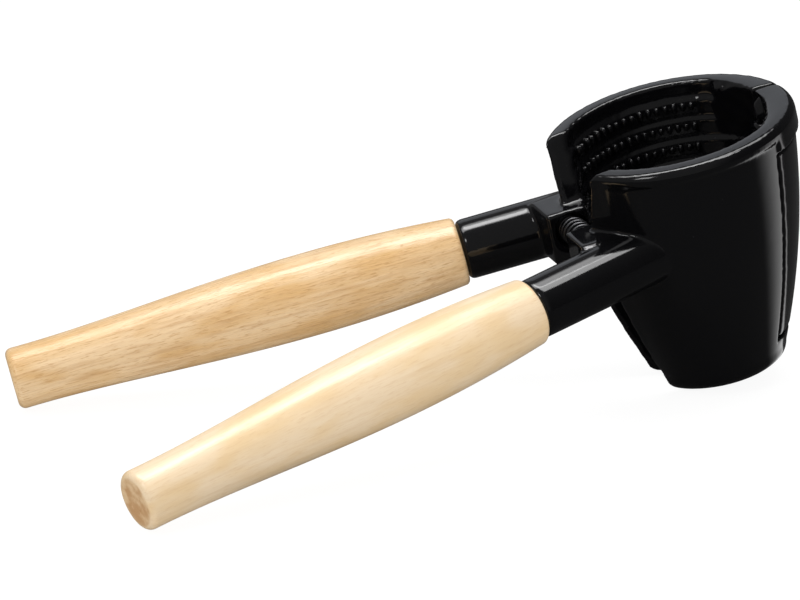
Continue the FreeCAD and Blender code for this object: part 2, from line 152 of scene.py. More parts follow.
# Wood: the values between which each pattern comes in, and the tone that it brings
WOOD_FIGURE = (("Blotches", 0.40, 0.66, "warm"), ("Streaks", 0.42, 0.68, "warm"),
               ("Lines", 0.45, 0.75, "deep"), ("Fibres", 0.52, 0.72, "deep"))

# Floor and world: strengths as the camera sees them, as gloss mirrors them, and as they light matt faces
FLOOR_PAINT = (0.12, 0.05, 0.20)
FLOOR_SEEN = 0.93
FLOOR_SPREAD = 0.68
FLOOR_HALF = 30.0
FLOOR_DROP = 0.5 * MM
WORLD_SEEN = 1.0
WORLD_SPREAD = 0.74

# Floor patch that gloss mirrors, by its bearing in radians round a point under the cup. Each row is a
# range and what it becomes.
PATCH_CENTRE = 70.0 * MM
PATCH_RISE = (-0.60, -0.03, 0.03, 1.6)
PATCH_CUT = (0.0, 0.09, 1.0, 0.01)

# World that gloss mirrors: dim, dimmer to the right, with a panel behind whose edges are slopes off the
# zenith. Each row is a range and what it becomes.
WORLD_RIGHT = (0.0, 0.6, 0.20, 0.05)
PANEL_SIDES = (0.55, 0.75, 1.0, 0.0)
PANEL_FRONT = (0.02, 0.10, 0.0, 1.0)
PANEL_BACK = (0.40, 0.70, 5.0, 0.0)
LOWEST_RISE = 0.05

# Lamps: name, place, width and height, power, colour
LAMP_AIM = (0.0, 0.0, 0.04)
WHITE = (1.0, 1.0, 1.0)
LAMPS = (("top softbox", (0.08, 0.08, 1.05), (0.9, 0.22), 4.4, WHITE),
         ("left softbox", (-0.70, -0.48, 0.78), (0.25, 0.25), 1.3, WHITE),
         ("back panel", (0.30, 1.60, 0.80), (1.1, 0.8), 1.1, (0.86, 0.91, 1.0)))

# Photograph: the cup seen from slightly above, with the grips towards the left
IMAGE_WIDTH = 800
IMAGE_HEIGHT = 600
PIXELS_PER_METRE = 3990.0
RIM_PIXEL = (667.3, 123.7)
VIEW_TURN = math.radians(-15.0)
VIEW_RISE = math.radians(22.04)
VIEW_ROLL = math.radians(-12.81)
VIEW_DISTANCE = 3.0


# Cup frame

HINGE = frame["joints"][0]
HINGE_FOOT = Vector(HINGE["pos_m"])
PIN_UP = -Vector(HINGE["axis"])
ACROSS = Vector((0, 1, 0))
CUP_UP = Matrix.Rotation(-HINGE_TILT, 3, "Y") @ PIN_UP
TO_HINGE = ACROSS.cross(CUP_UP)
RIM_CENTRE = HINGE_FOOT - TO_HINGE * HINGE_FROM_CENTRE


def frame_matrix(right, ahead, up, origin):
    """Matrix of a frame from its three axes and its origin."""
    matrix = Matrix((right, ahead, up)).transposed().to_4x4()
    matrix.translation = origin
    return matrix


CUP = frame_matrix(TO_HINGE, ACROSS, CUP_UP, RIM_CENTRE)


def wall_radius(depth):
    """Outer radius of the cup's bowed wall at a depth, or at many depths, under the rim."""
    sine = math.sin(WALL_TOP_SLOPE) + (depth - WALL_TOP_DEPTH) / WALL_ARC_RADIUS
    bow = (1 - sine * sine) ** 0.5 - math.cos(WALL_TOP_SLOPE)
    return RIM_RADIUS - LIP_OVERHANG + WALL_ARC_RADIUS * bow


def tiers():
    """Top depth, bottom depth and radius of each step inside the cup, from the mouth down."""
    deepest = CUP_HEIGHT - FLOOR_THICKNESS
    depth = MOUTH_DEPTH
    found = []
    while depth < deepest:
        bottom = depth + LEDGE_PITCH
        if bottom + LEDGE_PITCH / 2 > deepest:
            bottom = deepest
        found.append((depth, bottom, wall_radius(bottom) - WALL_THICKNESS))
        depth = bottom
    return found


def stem_direction(side):
    """Unit vector along a stem, from the cup out to the grip's end."""
    return Vector((-math.cos(STEM_SPREAD) * math.cos(STEM_DIP),
                   side * math.sin(STEM_SPREAD) * math.cos(STEM_DIP),
                   -math.sin(STEM_DIP)))


def stem_point(side, reach):
    """Point on a stem's axis, at a distance from where it passes closest to the cup's axis."""
    closest = Vector((STEM_OFFSET * math.sin(STEM_SPREAD),
                      side * STEM_OFFSET * math.cos(STEM_SPREAD),
                      -STEM_DROP))
    return closest + stem_direction(side) * reach


# Mesh helpers

def new_object(name, mesh):
    """An object with this data, linked into the scene."""
    thing = bpy.data.objects.new(name, mesh)
    bpy.context.scene.collection.objects.link(thing)
    return thing


def apply_modifiers(thing, name):
    """Give the object its mesh as the modifiers make it, and clear it of them."""
    graph = bpy.context.evaluated_depsgraph_get()
    mesh = bpy.data.meshes.new_from_object(thing.evaluated_get(graph))
    mesh.name = name
    thing.modifiers.clear()
    thing.data = mesh


def mesh_from(work, name):
    """A mesh from finished bmesh work."""
    mesh = bpy.data.meshes.new(name)
    work.to_mesh(mesh)
    work.free()
    return mesh


def points_of(mesh):
    """A mesh's points as an array with one row each."""
    flat = np.empty(len(mesh.vertices) * 3)
    mesh.vertices.foreach_get("co", flat)
    return flat.reshape(-1, 3)


def put_points(mesh, points):
    """Write an array of points back to their mesh."""
    mesh.vertices.foreach_set("co", points.astype(np.float32).ravel())
    mesh.update()


def moved(points, matrix):
    """Points as they stand after a move by a matrix."""
    turn = np.array(matrix.to_3x3())
    return points @ turn.T + np.array(matrix.translation)


def smooth_all(mesh):
    """Shade every face of a mesh smooth."""
    mesh.polygons.foreach_set("use_smooth", [True] * len(mesh.polygons))


def share_between(values, low, high):
    """How far each value is from low to high, from 0 to 1."""
    return np.clip((values - low) / (high - low), 0, 1)


# Shader helpers

def linear(red, green, blue):
    """A colour as a photograph's 0 to 255 numbers, made linear."""
    def one(value):
        share = value / 255
        return share / 12.92 if share <= 0.04045 else ((share + 0.055) / 1.055) ** 2.4
    return (one(red), one(green), one(blue), 1.0)


def wire(tree, socket, value):
    """Set an input to a number, or link it to another node's output."""
    if isinstance(value, bpy.types.NodeSocket):
        tree.links.new(value, socket)
    else:
        socket.default_value = value


def put(tree, kind, wires=None, **settings):
    """A node with its settings, and its inputs given as numbers or as other nodes' outputs."""
    made = tree.nodes.new(kind)
    for key, value in settings.items():
        setattr(made, key, value)
    for key, value in (wires or {}).items():
        wire(tree, made.inputs[key], value)
    return made


def math_of(tree, operation, first, second=0.0, clamp=False):
    """The result of a Math node."""
    made = put(tree, "ShaderNodeMath", {0: first, 1: second}, operation=operation, use_clamp=clamp)
    return made.outputs[0]


def vector_of(tree, operation, wires):
    """The vector that a Vector Math node gives."""
    return put(tree, "ShaderNodeVectorMath", wires, operation=operation).outputs[0]


def parts_of(tree, vector):
    """The X, Y and Z outputs of a vector."""
    return put(tree, "ShaderNodeSeparateXYZ", {0: vector}).outputs


def mixed(tree, share, first, second):
    """A colour between two colours."""
    return put(tree, "ShaderNodeMix", {0: share, 6: first, 7: second}, data_type="RGBA").outputs[2]


def ranged(tree, value, low, high, to_low=0.0, to_high=1.0):
    """Value moved from one range to another with soft ends."""
    return put(tree, "ShaderNodeMapRange",
               {"Value": value, "From Min": low, "From Max": high, "To Min": to_low, "To Max": to_high},
               interpolation_type="SMOOTHSTEP").outputs["Result"]


def group(name, inputs, outputs):
    """An empty shader node group with named sockets, and its two end nodes."""
    tree = bpy.data.node_groups.new(name, "ShaderNodeTree")
    for label, kind, value in inputs:
        socket = tree.interface.new_socket(name=label, in_out="INPUT", socket_type=kind)
        if value is not None:
            socket.default_value = value
    for label in outputs:
        tree.interface.new_socket(name=label, in_out="OUTPUT", socket_type="NodeSocketFloat")
    return tree, tree.nodes.new("NodeGroupInput").outputs, tree.nodes.new("NodeGroupOutput").inputs


def use_group(tree, shared, **values):
    """The outputs of a shared group with its inputs set; an underscore stands for a space in a name."""
    made = tree.nodes.new("ShaderNodeGroup")
    made.node_tree = shared
    for key, value in values.items():
        wire(tree, made.inputs[key.replace("_", " ")], value)
    return made.outputs


def material(name):
    """A new material with its tree and its shader."""
    made = bpy.data.materials.new(name)
    made.use_nodes = True
    tree = made.node_tree
    return made, tree, tree.nodes["Principled BSDF"]


def relief_on(tree, shader, height, strength, distance):
    """Raise a shader's surface by a height."""
    bump = put(tree, "ShaderNodeBump", {"Height": height, "Strength": strength, "Distance": distance})
    tree.links.new(bump.outputs["Normal"], shader.inputs["Normal"])


# Shared effects

def ripple_group():
    """Slow flow marks and fine grit on a sprayed or drawn surface."""
    tree, given, result = group(
        "surface ripple",
        [("Place", "NodeSocketVector", None), ("Flow Scale", "NodeSocketFloat", 260.0),
         ("Grit Scale", "NodeSocketFloat", 2600.0), ("Grit Share", "NodeSocketFloat", 0.1)],
        ["Height", "Flow", "Grit"])
    flow = put(tree, "ShaderNodeTexNoise", {"Vector": given["Place"], "Scale": given["Flow Scale"],
                                            "Detail": 1.5, "Roughness": 0.45}).outputs["Fac"]
    grit = put(tree, "ShaderNodeTexNoise", {"Vector": given["Place"], "Scale": given["Grit Scale"],
                                            "Detail": 2.0, "Roughness": 0.6}).outputs["Fac"]
    fine = math_of(tree, "MULTIPLY", grit, given["Grit Share"])
    tree.links.new(math_of(tree, "ADD", flow, fine), result["Height"])
    tree.links.new(flow, result["Flow"])
    tree.links.new(grit, result["Grit"])
    return tree


def fleck_group():
    """Sparse small flecks, such as dust in paint or pores in wood."""
    tree, given, result = group(
        "flecks",
        [("Place", "NodeSocketVector", None), ("Scale", "NodeSocketFloat", 900.0),
         ("Size", "NodeSocketFloat", 0.09), ("Share", "NodeSocketFloat", 0.25)],
        ["Mask"])
    cells = put(tree, "ShaderNodeTexVoronoi", {"Vector": given["Place"], "Scale": given["Scale"]})
    chance = put(tree, "ShaderNodeSeparateColor", {"Color": cells.outputs["Color"]}).outputs[0]
    kept = math_of(tree, "LESS_THAN", chance, given["Share"])
    near = math_of(tree, "LESS_THAN", cells.outputs["Distance"], given["Size"])
    tree.links.new(math_of(tree, "MULTIPLY", kept, near), result["Mask"])
    return tree


def grain_group():
    """Grain in a turned piece: soft blotches, broad streaks, growth lines and short fine fibres along Z."""
    tree, given, result = group(
        "lengthwise grain",
        [("Place", "NodeSocketVector", None), ("Streak Scale", "NodeSocketFloat", 240.0),
         ("Line Scale", "NodeSocketFloat", 1000.0), ("Fibre Scale", "NodeSocketFloat", 2900.0),
         ("Blotch Scale", "NodeSocketFloat", 130.0), ("Drift Scale", "NodeSocketFloat", 28.0),
         ("Wander", "NodeSocketFloat", 0.0012)],
        ["Blotches", "Streaks", "Lines", "Fibres"])
    drift = put(tree, "ShaderNodeTexNoise", {"Vector": given["Place"], "Scale": given["Drift Scale"],
                                             "Detail": 2.0}).outputs["Color"]
    centred = vector_of(tree, "SUBTRACT", {0: drift, 1: (0.5, 0.5, 0.5)})
    shift = vector_of(tree, "SCALE", {0: centred, "Scale": given["Wander"]})
    bent = vector_of(tree, "ADD", {0: given["Place"], 1: shift})
    for label, scale, detail, length in GRAIN_PATTERNS:
        drawn = vector_of(tree, "MULTIPLY", {0: bent, 1: (1.0, 1.0, length)})
        noise = put(tree, "ShaderNodeTexNoise", {"Vector": drawn, "Scale": given[scale],
                                                 "Detail": detail, "Roughness": 0.55})
        tree.links.new(noise.outputs["Fac"], result[label])
    return tree


RIPPLE = ripple_group()
FLECKS = fleck_group()
GRAIN = grain_group()


# Finishes

def black_enamel():
    """Deep gloss black, with faint flow marks and a little dust under the top coat."""
    made, tree, shader = material("black enamel")
    place = put(tree, "ShaderNodeTexCoord").outputs["Object"]
    skin = use_group(tree, RIPPLE, Place=place, Flow_Scale=230.0, Grit_Scale=1500.0, Grit_Share=0.05)
    dust = use_group(tree, FLECKS, Place=place, Scale=420.0, Size=0.035, Share=0.10)
    colour = mixed(tree, dust["Mask"], linear(9, 9, 11), linear(70, 70, 74))
    tree.links.new(colour, shader.inputs["Base Color"])
    tree.links.new(ranged(tree, skin["Grit"], 0.3, 0.75, 0.07, 0.13), shader.inputs["Roughness"])
    relief_on(tree, shader, skin["Height"], 0.35, 0.06 * MM)
    return made


def lacquered_wood(name, tones, shares, gloss, coat, relief):
    """Clear-lacquered pale wood with its grain along the grip, and open grain on the end face."""
    made, tree, shader = material(name)
    place = put(tree, "ShaderNodeAttribute", attribute_name="grip_place").outputs["Vector"]
    end = put(tree, "ShaderNodeAttribute", attribute_name="grip_end").outputs["Fac"]
    grain = use_group(tree, GRAIN, Place=place)
    pores = use_group(tree, FLECKS, Place=place, Scale=800.0, Size=0.22, Share=0.35)
    colour = tones["pale"]
    for (label, low, high, tone), share in zip(WOOD_FIGURE, shares):
        amount = math_of(tree, "MULTIPLY", ranged(tree, grain[label], low, high), share)
        colour = mixed(tree, amount, colour, tones[tone])
    end_pores = math_of(tree, "MULTIPLY", pores["Mask"], 0.25)
    end_clouds = math_of(tree, "MULTIPLY", ranged(tree, grain["Streaks"], 0.38, 0.64), 0.75)
    end_spots = math_of(tree, "ADD", end_pores, end_clouds)
    end_colour = mixed(tree, end_spots, linear(232, 197, 150), linear(196, 142, 84))
    tree.links.new(mixed(tree, end, colour, end_colour), shader.inputs["Base Color"])
    rough = ranged(tree, grain["Lines"], 0.3, 0.8, gloss, gloss + 0.14)
    rough = math_of(tree, "ADD", rough, math_of(tree, "MULTIPLY", end, 0.25), clamp=True)
    tree.links.new(rough, shader.inputs["Roughness"])
    height = math_of(tree, "ADD", grain["Lines"], math_of(tree, "MULTIPLY", grain["Fibres"], 0.4))
    end_height = math_of(tree, "MULTIPLY", math_of(tree, "MULTIPLY", end_spots, end), 0.6)
    relief_on(tree, shader, math_of(tree, "ADD", height, end_height), 0.5, relief)
    shader.inputs["Coat Weight"].default_value = coat
    shader.inputs["Coat Roughness"].default_value = 0.16
    return made


def bare_steel(name, grey, roughness):
    """Drawn steel with fine lines and small dull patches."""
    made, tree, shader = material(name)
    place = put(tree, "ShaderNodeTexCoord").outputs["Object"]
    skin = use_group(tree, RIPPLE, Place=place, Flow_Scale=500.0, Grit_Scale=4200.0, Grit_Share=0.5)
    dull = tuple(0.7 * part for part in grey)
    tone = mixed(tree, ranged(tree, skin["Flow"], 0.35, 0.7), grey + (1.0,), dull + (1.0,))
    tree.links.new(tone, shader.inputs["Base Color"])
    rough = ranged(tree, skin["Grit"], 0.3, 0.8, roughness, roughness + 0.2)
    tree.links.new(rough, shader.inputs["Roughness"])
    relief_on(tree, shader, skin["Height"], 0.2, 0.03 * MM)
    shader.inputs["Metallic"].default_value = 1.0
    return made


ENAMEL = black_enamel()
NEAR_WOOD = lacquered_wood(
    "near grip wood",
    {"pale": linear(253, 228, 192), "warm": linear(246, 212, 160), "deep": linear(224, 181, 125)},
    shares=(0.75, 0.35, 0.22, 0.26), gloss=0.30, coat=0.30, relief=0.09 * MM)
FAR_WOOD = lacquered_wood(
    "far grip wood",
    {"pale": linear(249, 217, 172), "warm": linear(230, 185, 122), "deep": linear(194, 142, 82)},
    shares=(0.80, 0.50, 0.40, 0.55), gloss=0.24, coat=0.12, relief=0.32 * MM)
SPRING_STEEL = bare_steel("dark spring steel", (0.10, 0.10, 0.105), 0.25)
PIN_STEEL = bare_steel("plain steel", (0.52, 0.52, 0.53), 0.3)


# Castings

def pad_radius(azimuth, depth):
    """Inner radius around the hinge, where the rim's thicker part runs out softly into the steps."""
    local = np.full(len(depth), MOUTH_RADIUS)
    for top, bottom, step in tiers():
        local[(depth > top) & (depth <= bottom)] = step
    share = share_between(azimuth, *HINGE_PAD_ARC)
    return HINGE_PAD_RADIUS + (local - HINGE_PAD_RADIUS) * share * share * (3 - 2 * share)


def settle_on_cup(points):
    """Bring points, in the cup frame, exactly onto the cup's turned faces that they lie near."""
    radius = np.hypot(points[:, 0], points[:, 1])
    azimuth = abs(np.arctan2(points[:, 1], points[:, 0]))
    depth = -points[:, 2]
    target = radius.copy()

    # Hinge barrel and pad, drawn back to the pad's soft run-out
    thick = pad_radius(azimuth, depth)
    in_pad = ((points[:, 0] > 0) & (azimuth < HINGE_PAD_ARC[1]) & (radius < thick)
              & (radius > HINGE_PAD_RADIUS - BARREL_PROUD) & (depth < HINGE_PAD_DEPTH - PAD_FOOT_MARGIN))
    target[in_pad] = thick[in_pad]

    # Outer wall, mouth, pad, lip and steps
    wall = wall_radius(depth)
    on_wall = (abs(radius - wall) < FACE_REACH) & (depth > WALL_TOP_DEPTH) & (depth < WALL_END_DEPTH)
    target[on_wall] = wall[on_wall]
    bands = [(MOUTH_RADIUS, 0.0, MOUTH_DEPTH), (HINGE_PAD_RADIUS, 0.0, HINGE_PAD_DEPTH),
             (RIM_RADIUS, RIM_ROUND, TOP_KNUCKLE)]
    bands += [(step, top, bottom) for top, bottom, step in tiers()]
    for face, top, bottom in bands:
        near = (abs(radius - face) < FACE_REACH) & (depth > top) & (depth < bottom)
        target[near] = face

    # Lip, run out into the wall near the free ends
    fade = share_between(azimuth, *LIP_FADE_ARC) * share_between(depth, *LIP_FADE_DEPTHS)
    on_lip = ((radius > wall) & (radius < RIM_RADIUS + FACE_REACH)
              & (depth < TOP_KNUCKLE + LIP_FOOT_MARGIN))
    target[on_lip] = (target + (wall - target) * fade)[on_lip]
    points[:, :2] *= (target / np.maximum(radius, MM))[:, None]

    # Top of the rim, gently domed
    on_rim = (depth > -FACE_REACH) & (depth < FACE_REACH + RIM_DOME)
    inner = np.minimum(thick, MOUTH_RADIUS)
    outer = RIM_RADIUS - RIM_ROUND
    across = np.clip((2 * radius - outer - inner) / (outer - inner), -1, 1)
    points[on_rim, 2] = (-RIM_DOME * across * across)[on_rim]


def settle_on_stem(points, side):
    """Bring points, in the cup frame, exactly onto a round stem that they lie near."""
    start = np.array(stem_point(side, 0.0))
    along = np.array(stem_direction(side))
    offset = points - start
    reach = offset @ along
    square = offset - reach[:, None] * along
    distance = np.linalg.norm(square, axis=1)
    on_stem = ((abs(distance - STEM_RADIUS) < FACE_REACH) & (reach > STEM_ROOT)
               & (reach < STEM_REACH - STEM_END_ROUND))
    scale = np.where(on_stem, STEM_RADIUS / np.maximum(distance, MM), 1.0)
    points[:] = start + reach[:, None] * along + square * scale[:, None]


def smoothed(points, edges, rounds):
    """Points drawn towards their neighbours' middle, which rounds the casting's edges."""
    count = len(points)
    first, second = edges[:, 0], edges[:, 1]
    links = np.bincount(first, minlength=count) + np.bincount(second, minlength=count)
    for _ in range(rounds):
        total = np.empty_like(points)
        for axis in range(3):
            total[:, axis] = (np.bincount(first, points[second, axis], count)
                              + np.bincount(second, points[first, axis], count))
        points = points + SMOOTHING_SHARE * (total / np.maximum(links, 1)[:, None] - points)
    return points


def casting(node, name, body, facet):
    """A jaw as a casting: the solid's shape in even small facets, with its edges softened."""
    mesh = frame["nodes"][node].data.copy()
    work = bmesh.new()
    work.from_mesh(mesh)
    bmesh.ops.remove_doubles(work, verts=work.verts, dist=MERGE_DISTANCE)
    work.to_mesh(mesh)
    work.free()
    thing = new_object(name, mesh)
    skin = thing.modifiers.new("even facets", "REMESH")
    skin.mode = "VOXEL"
    skin.voxel_size = facet
    apply_modifiers(thing, name)
    mesh = thing.data
    points = moved(points_of(mesh), CUP.inverted())
    edges = np.empty(len(mesh.edges) * 2, dtype=np.int64)
    mesh.edges.foreach_get("vertices", edges)
    for rounds in SMOOTHING_ROUNDS:
        settle_on_cup(points)
        settle_on_stem(points, NEAR)
        settle_on_stem(points, FAR)
        points = smoothed(points, edges.reshape(-1, 2), rounds)
    put_points(mesh, moved(points, CUP))
    mesh.materials.clear()
    mesh.materials.append(ENAMEL)
    smooth_all(mesh)
    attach(thing, body)
    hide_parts(node)


# Grips

def grip_profile():
    """Distances along the grip and radii, from the bore's edge at the stem to near the end's middle."""
    stations = np.linspace(0, 1, len(GRIP_RADII))
    shape = np.polyfit(stations, GRIP_RADII, len(GRIP_RADII) - 1)
    front = float(np.polyval(shape, GRIP_FRONT_ROUND / GRIP_LENGTH))
    end = float(np.polyval(shape, 1 - GRIP_END_ROUND / GRIP_LENGTH))
    outline = [(0.0, GRIP_BORE), (0.0, (GRIP_BORE + front) / 2)]
    for step in range(GRIP_FRONT_STEPS + 1):
        angle = step / GRIP_FRONT_STEPS * math.pi / 2
        outline.append((GRIP_FRONT_ROUND * (1 - math.cos(angle)),
                        front - GRIP_FRONT_ROUND * (1 - math.sin(angle))))
    straight = GRIP_LENGTH - GRIP_FRONT_ROUND - GRIP_END_ROUND
    for step in range(1, GRIP_LONG_STEPS):
        along = GRIP_FRONT_ROUND + step / GRIP_LONG_STEPS * straight
        outline.append((along, float(np.polyval(shape, along / GRIP_LENGTH))))
    for step in range(GRIP_END_STEPS + 1):
        angle = step / GRIP_END_STEPS * math.pi / 2
        outline.append((GRIP_LENGTH - GRIP_END_ROUND * (1 - math.sin(angle)),
                        end - GRIP_END_ROUND * (1 - math.cos(angle))))
    for share in (0.75, 0.5, 0.25):
        outline.append((GRIP_LENGTH, (end - GRIP_END_ROUND) * share))
    return outline


def turned_mesh(name):
    """The grip as a turned solid along Z, with a short blind bore at the stem's end."""
    work = bmesh.new()
    rings = []
    for along, radius in grip_profile():
        ring = []
        for step in range(GRIP_SEGMENTS):
            angle = 2 * math.pi * step / GRIP_SEGMENTS
            ring.append(work.verts.new((radius * math.cos(angle), radius * math.sin(angle), along)))
        rings.append(ring)
    rings.insert(0, [work.verts.new((v.co.x, v.co.y, GRIP_BORE_DEPTH)) for v in rings[0]])
    tip = work.verts.new((0, 0, GRIP_LENGTH))
    for step in range(GRIP_SEGMENTS):
        after = (step + 1) % GRIP_SEGMENTS
        for lower, upper in zip(rings, rings[1:]):
            work.faces.new((lower[step], lower[after], upper[after], upper[step]))
        work.faces.new((rings[-1][step], rings[-1][after], tip))
    work.faces.new(list(reversed(rings[0])))
    bmesh.ops.recalc_face_normals(work, faces=work.faces)
    return mesh_from(work, name)


def grip(side, node, name, body, wood, grain_shift):
    """A turned wooden grip on its stem, with its own length and width kept as attributes for the grain."""
    mesh = turned_mesh(name)
    local = points_of(mesh)
    shifted = local + np.array((grain_shift, -grain_shift, 3 * grain_shift))
    place = mesh.attributes.new("grip_place", "FLOAT_VECTOR", "POINT")
    place.data.foreach_set("vector", shifted.astype(np.float32).ravel())
    radius = np.hypot(local[:, 0], local[:, 1])
    inside = np.clip((GRIP_RADII[-1] - END_FACE_BORDER - radius) / END_FACE_BLEND, 0, 1)
    on_end = (local[:, 2] > GRIP_LENGTH - END_FACE_DEPTH) * inside
    mesh.attributes.new("grip_end", "FLOAT", "POINT").data.foreach_set("value", on_end.astype(np.float32))
    along = stem_direction(side)
    across = Vector((0, 0, 1)).cross(along).normalized()
    seat = frame_matrix(across, along.cross(across), along, stem_point(side, STEM_REACH))
    mesh.transform(CUP @ seat)
    mesh.materials.append(wood)
    smooth_all(mesh)
    thing = new_object(name, mesh)
    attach(thing, body)
    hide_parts(node)


# Geometry Nodes

def nodes_tree(name, inputs):
    """An empty Geometry Nodes tree with a mesh in, named sizes in and a mesh out."""
    tree = bpy.data.node_groups.new(name, "GeometryNodeTree")
    tree.interface.new_socket(name="Rows", in_out="INPUT", socket_type="NodeSocketGeometry")
    names = {}
    for label, kind in inputs:
        names[label] = tree.interface.new_socket(name=label, in_out="INPUT", socket_type=kind).identifier
    tree.interface.new_socket(name="Result", in_out="OUTPUT", socket_type="NodeSocketGeometry")
    return tree, names, tree.nodes.new("NodeGroupInput").outputs, tree.nodes.new("NodeGroupOutput").inputs


def end_tree(tree, shape, finish, result):
    """Close a tree: its instances made real, shaded smooth, and in their finish."""
    real = put(tree, "GeometryNodeRealizeInstances", {"Geometry": shape}).outputs["Geometry"]
    soft = put(tree, "GeometryNodeSetShadeSmooth", {"Geometry": real}).outputs["Geometry"]
    painted = put(tree, "GeometryNodeSetMaterial", {"Geometry": soft, "Material": finish})
    tree.links.new(painted.outputs["Geometry"], result["Result"])


def tooth_tree():
    """Barrel-shaped teeth at an even pitch along each row's line, each of a slightly different size."""
    tree, names, given, result = nodes_tree("ledge teeth", [
        ("Pitch", "NodeSocketFloat"), ("Width", "NodeSocketFloat"), ("Depth", "NodeSocketFloat"),
        ("Height", "NodeSocketFloat"), ("Seed", "NodeSocketInt"), ("Finish", "NodeSocketMaterial")])
    lines = put(tree, "GeometryNodeMeshToCurve", {"Mesh": given["Rows"]}).outputs["Curve"]
    even = put(tree, "GeometryNodeResampleCurve", {"Curve": lines, "Length": given["Pitch"]},
               mode="LENGTH").outputs["Curve"]

    # One tooth, 1 across each way: a ball drawn out upwards and cut flat above and below
    ball = put(tree, "GeometryNodeMeshUVSphere", {"Segments": TOOTH_SEGMENTS, "Rings": TOOTH_RINGS,
                                                  "Radius": 0.5}).outputs["Mesh"]
    part = parts_of(tree, put(tree, "GeometryNodeInputPosition").outputs[0])
    drawn = math_of(tree, "MULTIPLY", part["Z"], TOOTH_BARREL)
    level = put(tree, "ShaderNodeClamp", {"Value": drawn, "Min": -0.5, "Max": 0.5}).outputs[0]
    barrel = put(tree, "ShaderNodeCombineXYZ", {"X": part["X"], "Y": part["Y"], "Z": level}).outputs[0]
    tooth = put(tree, "GeometryNodeSetPosition", {"Geometry": ball, "Position": barrel}).outputs["Geometry"]

    tangent = put(tree, "GeometryNodeInputTangent").outputs["Tangent"]
    turn = put(tree, "FunctionNodeAlignRotationToVector", {"Vector": tangent}, axis="X", pivot_axis="Z")
    least, most = TOOTH_SIZES
    chance = put(tree, "FunctionNodeRandomValue", {"Min": least, "Max": most, "Seed": given["Seed"]},
                 data_type="FLOAT")
    share = [socket for socket in chance.outputs if socket.enabled][0]
    height = math_of(tree, "MULTIPLY", given["Height"], share)
    depth = math_of(tree, "MULTIPLY", given["Depth"], share)
    size = put(tree, "ShaderNodeCombineXYZ", {"X": given["Width"], "Y": depth, "Z": height}).outputs[0]
    placed = put(tree, "GeometryNodeInstanceOnPoints", {
        "Points": even, "Instance": tooth, "Rotation": turn.outputs["Rotation"], "Scale": size})
    end_tree(tree, placed.outputs["Instances"], given["Finish"], result)
    return tree, names


def spring_tree():
    """A round wire wound along Z, with its end turns drawn closer together."""
    tree, names, given, result = nodes_tree("wound spring", [
        ("Turns", "NodeSocketFloat"), ("Radius", "NodeSocketFloat"), ("Length", "NodeSocketFloat"),
        ("Wire Radius", "NodeSocketFloat"), ("End Crowding", "NodeSocketFloat"),
        ("Finish", "NodeSocketMaterial")])
    path = put(tree, "GeometryNodeCurveSpiral", {
        "Resolution": SPRING_TURN_STEPS, "Rotations": given["Turns"], "Start Radius": given["Radius"],
        "End Radius": given["Radius"], "Height": given["Length"]}).outputs["Curve"]
    share = put(tree, "GeometryNodeSplineParameter").outputs["Factor"]
    wave = math_of(tree, "SINE", math_of(tree, "MULTIPLY", share, 2 * math.pi))
    crowding = math_of(tree, "MULTIPLY", wave, given["End Crowding"])
    back = math_of(tree, "MULTIPLY", crowding, given["Length"])
    offset = put(tree, "ShaderNodeCombineXYZ", {"Z": math_of(tree, "MULTIPLY", back, -1.0)}).outputs[0]
    crowded = put(tree, "GeometryNodeSetPosition", {"Geometry": path, "Offset": offset}).outputs["Geometry"]
    section = put(tree, "GeometryNodeCurvePrimitiveCircle", {
        "Resolution": SPRING_WIRE_SIDES, "Radius": given["Wire Radius"]}).outputs["Curve"]
    wound = put(tree, "GeometryNodeCurveToMesh", {
        "Curve": crowded, "Profile Curve": section, "Fill Caps": True}).outputs["Mesh"]
    end_tree(tree, wound, given["Finish"], result)
    return tree, names


def grown(name, mesh, tree, names, values, place):
    """A plain mesh from a Geometry Nodes tree with its sizes, moved to its place in the mesh."""
    thing = new_object(name, mesh)
    grow = thing.modifiers.new("grow", "NODES")
    grow.node_group = tree
    for label, value in values.items():
        grow[names[label]] = value
    apply_modifiers(thing, name)
    thing.data.transform(place)
    return thing


def tooth_rows(side):
    """Lines along the cup's wall under each ledge, in the cup frame."""
    work = bmesh.new()
    start, stop = TOOTH_ARC
    for top, _, radius in tiers():
        middle = -top - TOOTH_UNDER_LEDGE - TOOTH_HEIGHT / 2
        last = None
        for step in range(TOOTH_ROW_STEPS + 1):
            angle = start + (stop - start) * step / TOOTH_ROW_STEPS
            point = work.verts.new((radius * math.cos(angle), side * radius * math.sin(angle), middle))
            if last is not None:
                work.edges.new((last, point))
            last = point
    return mesh_from(work, "tooth rows")


def teeth(side, name, body, tree, names, seed):
    """All the rows of teeth of one casting."""
    made = grown(name, tooth_rows(side), tree, names, {
        "Pitch": TOOTH_PITCH, "Width": TOOTH_WIDTH, "Depth": TOOTH_DEPTH, "Height": TOOTH_HEIGHT,
        "Seed": seed, "Finish": ENAMEL}, CUP)
    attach(made, body)


def return_spring():
    """The spring between the two blocks, a fixed mesh carried with the far side; on the real press it
    shortens as the grips are squeezed together.
    """
    low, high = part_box("return_spring")
    middle = (low + high) / 2
    length = high.y - low.y - SPRING_WIRE
    tree, names = spring_tree()
    turn = Matrix.Rotation(-math.pi / 2, 4, "X")
    place = Matrix.Translation(middle) @ turn @ Matrix.Translation(Vector((0, 0, -length / 2)))
    made = grown("coil_spring", bpy.data.meshes.new("spring seat"), tree, names, {
        "Turns": SPRING_TURNS, "Radius": SPRING_RADIUS, "Length": length, "Wire Radius": SPRING_WIRE / 2,
        "End Crowding": SPRING_END_CROWDING, "Finish": SPRING_STEEL}, place)
    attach(made, "far_side")
    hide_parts("return_spring")
    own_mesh(made)


